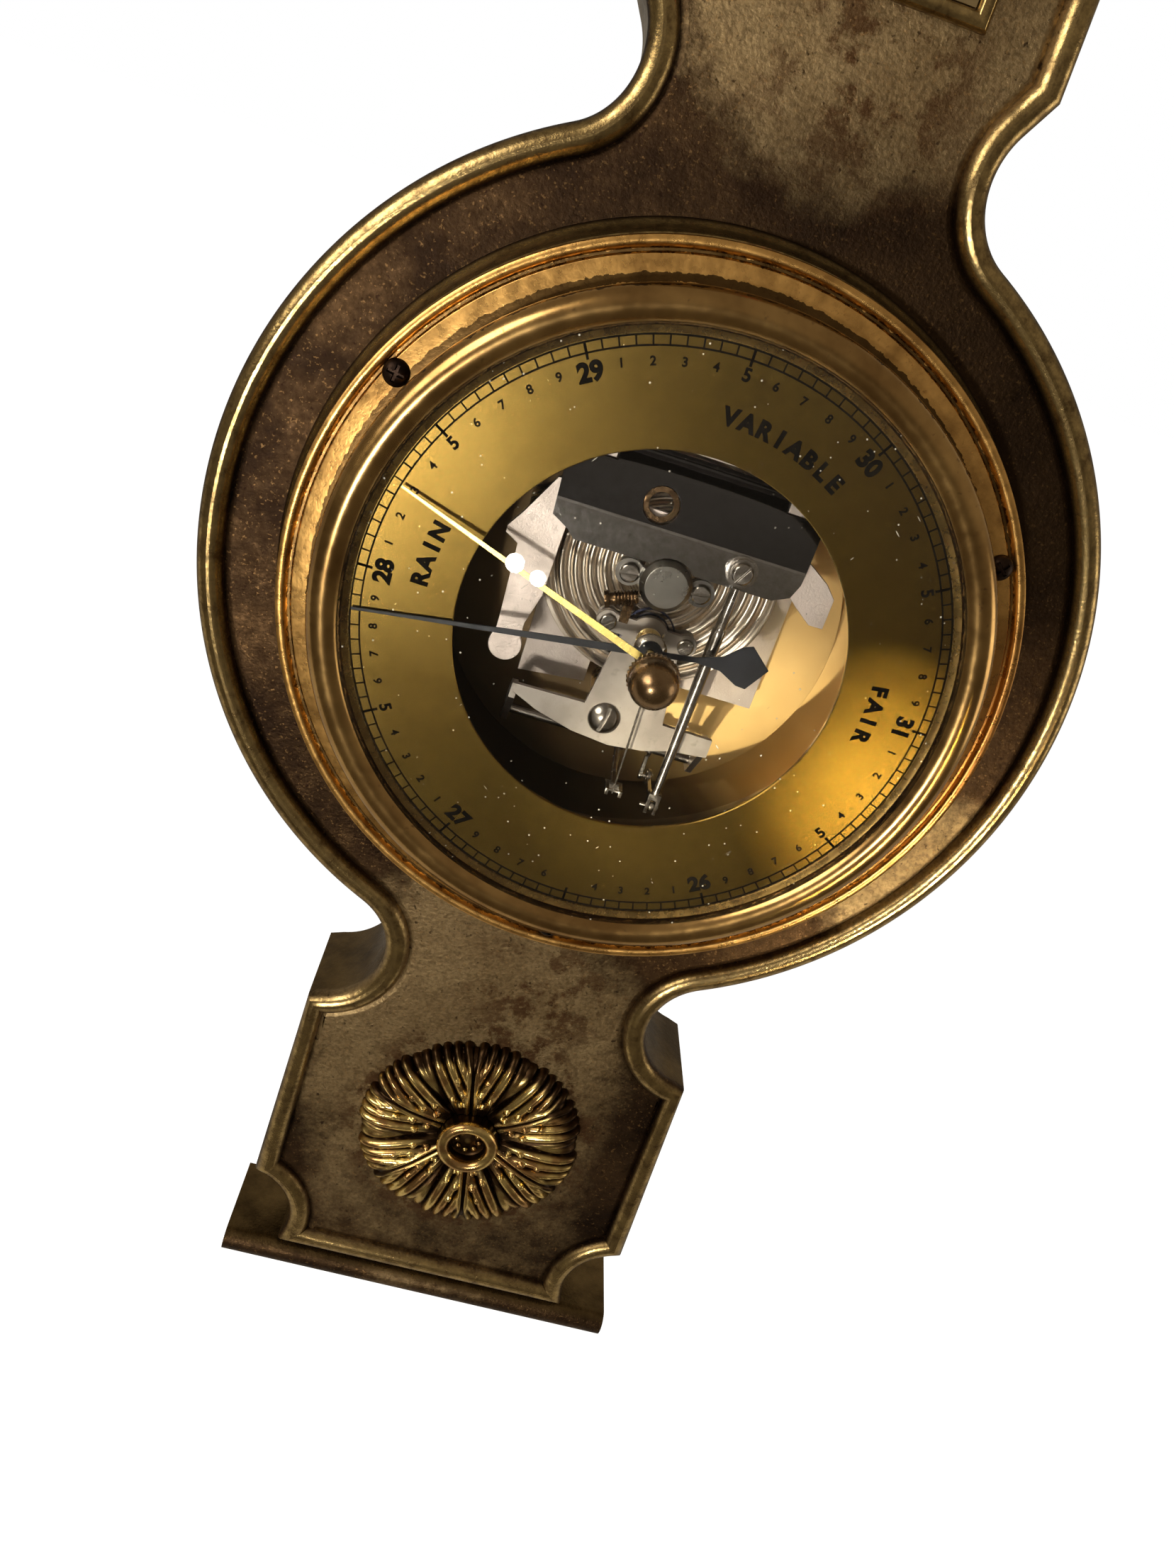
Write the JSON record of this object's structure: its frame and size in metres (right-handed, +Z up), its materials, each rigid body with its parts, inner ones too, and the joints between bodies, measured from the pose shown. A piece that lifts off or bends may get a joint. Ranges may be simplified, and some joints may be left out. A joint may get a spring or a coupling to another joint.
{
  "type": "wall barometer",
  "caption": "Brass wall barometer: round open dial over an aneroid movement, upper panel with thermometer, lower panel with leaf rosette and plinth.",
  "frame": {"origin": "centre of the hanging hole, on the wall plane", "axes": "+X right as seen from the front, +Y into the wall, +Z up; the dial looks towards -Y"},
  "size_m": [0.1654, 0.0627, 0.4401],
  "materials": {
    "aged_brass": "aged brown-olive lacquered brass, half matt",
    "cover_paint": "matt dark paint",
    "turned_brass": "turned brass, satin",
    "tab_steel": "plain steel, dull",
    "black_rubber": "matt rubber",
    "leaf_brass": "cast brass with dark wash in the hollows",
    "scale_plate": "satin lacquered brass",
    "clear_glass": "clear",
    "red_spirit": "coloured spirit seen through glass",
    "gold_lacquer": "gold lacquered brass, satin",
    "dark_screw": "browned steel",
    "dial_gold": "satin gold dial with black print",
    "copper_knob": "polished coppery brass",
    "bright_brass": "bright thin brass",
    "nickel": "pressed white metal, satin",
    "black_hand": "matt black",
    "blued_steel": "blued spring steel",
    "grey_steel": "grey steel, rolled, light stains",
    "polished_steel": "polished steel"
  },
  "bodies": {
    "case": {"case_shell": "aged_brass", "base_moulding": "aged_brass", "back_cover": "cover_paint", "cover_posts": "turned_brass", "cover_screws": "tab_steel", "hanger_plate": "tab_steel", "hanger_rivets": "tab_steel", "wall_pads": "black_rubber", "seat_ring": "aged_brass", "rosette": "leaf_brass", "rosette_button": "leaf_brass", "rosette_nut": "leaf_brass", "thermometer_frame": "aged_brass", "thermometer_plate": "scale_plate", "thermometer_tube": "clear_glass", "thermometer_liquid": "red_spirit", "tube_clips": "gold_lacquer", "clip_screws": "tab_steel", "drum": "gold_lacquer", "flange_ring": "gold_lacquer", "flange_screws": "dark_screw", "bezel": "aged_brass", "glass": "clear_glass", "sight_ring": "gold_lacquer", "glass_bush": "turned_brass", "friction_washer": "polished_steel", "dial": "dial_gold", "base_disc": "gold_lacquer", "base_pillars": "turned_brass", "spring_bridge": "grey_steel", "bridge_posts": "turned_brass", "front_plate": "grey_steel", "plate_pillars": "turned_brass", "plate_screws": "polished_steel", "capsule": "nickel", "arbor_cock": "grey_steel", "bridge_pillar": "turned_brass", "arbor_bridge": "grey_steel", "bridge_screw": "polished_steel", "cross_screws": "polished_steel", "hairspring": "blued_steel", "hairspring_stud": "turned_brass"},
    "set": {"set_knob": "copper_knob", "set_hand": "bright_brass"},
    "hand": {"arbor": "turned_brass", "hand_boss": "polished_steel", "pressure_hand": "black_hand"},
    "lever": {"main_spring": "grey_steel", "spring_eyelet": "turned_brass", "main_rod": "polished_steel", "rod_screw": "polished_steel", "link": "polished_steel"},
    "cap": {"capsule_post": "polished_steel", "capsule_cap": "polished_steel", "cap_screws": "polished_steel"},
    "rocker": {"rocking_shaft": "polished_steel", "chain_fork": "polished_steel"},
    "chain_run": {"chain": "polished_steel"},
    "adjuster": {"adjusting_screw": "turned_brass"}
  },
  "joints": [
    {"name": "pressure_turn", "type": "hinge", "parent": "case", "child": "hand", "pos_m": [0, -0.042, -0.252], "axis": [0, 1, 0], "range_deg": [-111, 189]},
    {"name": "set_turn", "type": "hinge", "parent": "case", "child": "set", "pos_m": [0, -0.049, -0.252], "axis": [0, 1, 0], "continuous": true},
    {"name": "leaf_swing", "type": "hinge", "parent": "case", "child": "lever", "pos_m": [0, -0.034, -0.221], "axis": [1, 0, 0], "range_deg": [-1.13, 1.93]},
    {"name": "capsule_travel", "type": "slide", "parent": "case", "child": "cap", "axis": [0, 1, 0], "range_m": [-0.00042, 0.0007]},
    {"name": "shaft_rock", "type": "hinge", "parent": "case", "child": "rocker", "pos_m": [0, -0.025, -0.276], "axis": [1, 0, 0], "range_deg": [-12.2, 20.6]},
    {"name": "chain_pivot", "type": "hinge", "parent": "rocker", "child": "chain_run", "pos_m": [0.0026, -0.039, -0.2805], "axis": [1, 0, 0], "range_deg": [-16.5, 9.8]},
    {"name": "adjuster_turn", "type": "hinge", "parent": "case", "child": "adjuster", "pos_m": [0, -0.01, -0.222], "axis": [0, 1, 0], "range_deg": [-180, 180]}
  ],
  "couplings": [
    {"joint": "pressure_turn", "follows": "leaf_swing", "ratio": 97.838},
    {"joint": "shaft_rock", "follows": "leaf_swing", "ratio": 10.482},
    {"joint": "capsule_travel", "follows": "leaf_swing", "m_per_rad": 0.020203},
    {"joint": "chain_pivot", "follows": "leaf_swing", "ratio": -8.3857}
  ]
}
